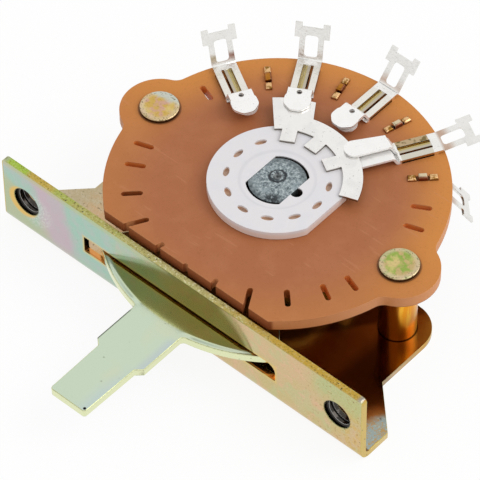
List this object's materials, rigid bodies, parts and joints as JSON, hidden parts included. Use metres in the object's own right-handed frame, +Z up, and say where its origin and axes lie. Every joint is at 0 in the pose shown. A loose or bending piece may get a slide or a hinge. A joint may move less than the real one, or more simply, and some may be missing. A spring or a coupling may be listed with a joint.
{
  "type": "lever selector switch",
  "caption": "Open-wafer lever selector switch: a flat lever in a slotted mounting plate turns a rotor blade between spring clips with solder lugs.",
  "frame": {"origin": "middle of the line between the two mounting holes, on the front face of the mounting plate", "axes": "+X along the plate, +Y back from the plate's front face to the pivot, +Z up from the floor plate to the wafer"},
  "size_m": [0.0476, 0.0508, 0.0142],
  "materials": {
    "yellow_zinc": "steel sheet with bright yellow-chromate zinc plating",
    "zinc_hardware": "steel with golden yellow-chromate zinc plating",
    "inner_steel": "plain bright steel",
    "silver_clip": "bright silver plating on spring brass strip",
    "silver_blade": "satin silver plating on brass strip",
    "white_rotor": "off-white moulding, satin",
    "brown_wafer": "punched phenolic laminate, satin brown",
    "cast_shaft": "grainy grey cast zinc alloy"
  },
  "bodies": {
    "frame_assembly": {"frame": "yellow_zinc", "spacer_left": "zinc_hardware", "spacer_right": "zinc_hardware", "rivet_left": "zinc_hardware", "rivet_right": "zinc_hardware", "wafer": "brown_wafer", "terminal_upper_throw_1": "silver_clip", "terminal_upper_throw_2": "silver_clip", "terminal_upper_throw_3": "silver_clip", "terminal_upper_common": "silver_clip", "terminal_lower_throw_1": "silver_clip", "terminal_lower_throw_2": "silver_clip", "terminal_lower_throw_3": "silver_clip", "terminal_lower_common": "silver_clip", "contact_upper_throw_1": "silver_clip", "contact_upper_throw_2": "silver_clip", "contact_upper_throw_3": "silver_clip", "contact_upper_common": "silver_clip", "contact_lower_throw_1": "silver_clip", "contact_lower_throw_2": "silver_clip", "contact_lower_throw_3": "silver_clip", "contact_lower_common": "silver_clip", "pivot_washer": "inner_steel", "detent_spring": "inner_steel", "spring_rivet": "zinc_hardware"},
    "lever_assembly": {"lever": "yellow_zinc", "shaft": "cast_shaft", "detent_cam": "inner_steel", "lever_spacer": "inner_steel", "lever_retainer": "inner_steel", "rotor_upper": "white_rotor", "rotor_lower": "white_rotor", "blade_upper": "silver_blade", "blade_lower": "silver_blade"}
  },
  "joints": [
    {"name": "lever_pivot", "type": "hinge", "parent": "frame_assembly", "child": "lever_assembly", "pos_m": [0, 0.01488, 0], "axis": [0, 0, 1], "range_deg": [-30, 30], "deforming": ["detent_spring"]}
  ]
}
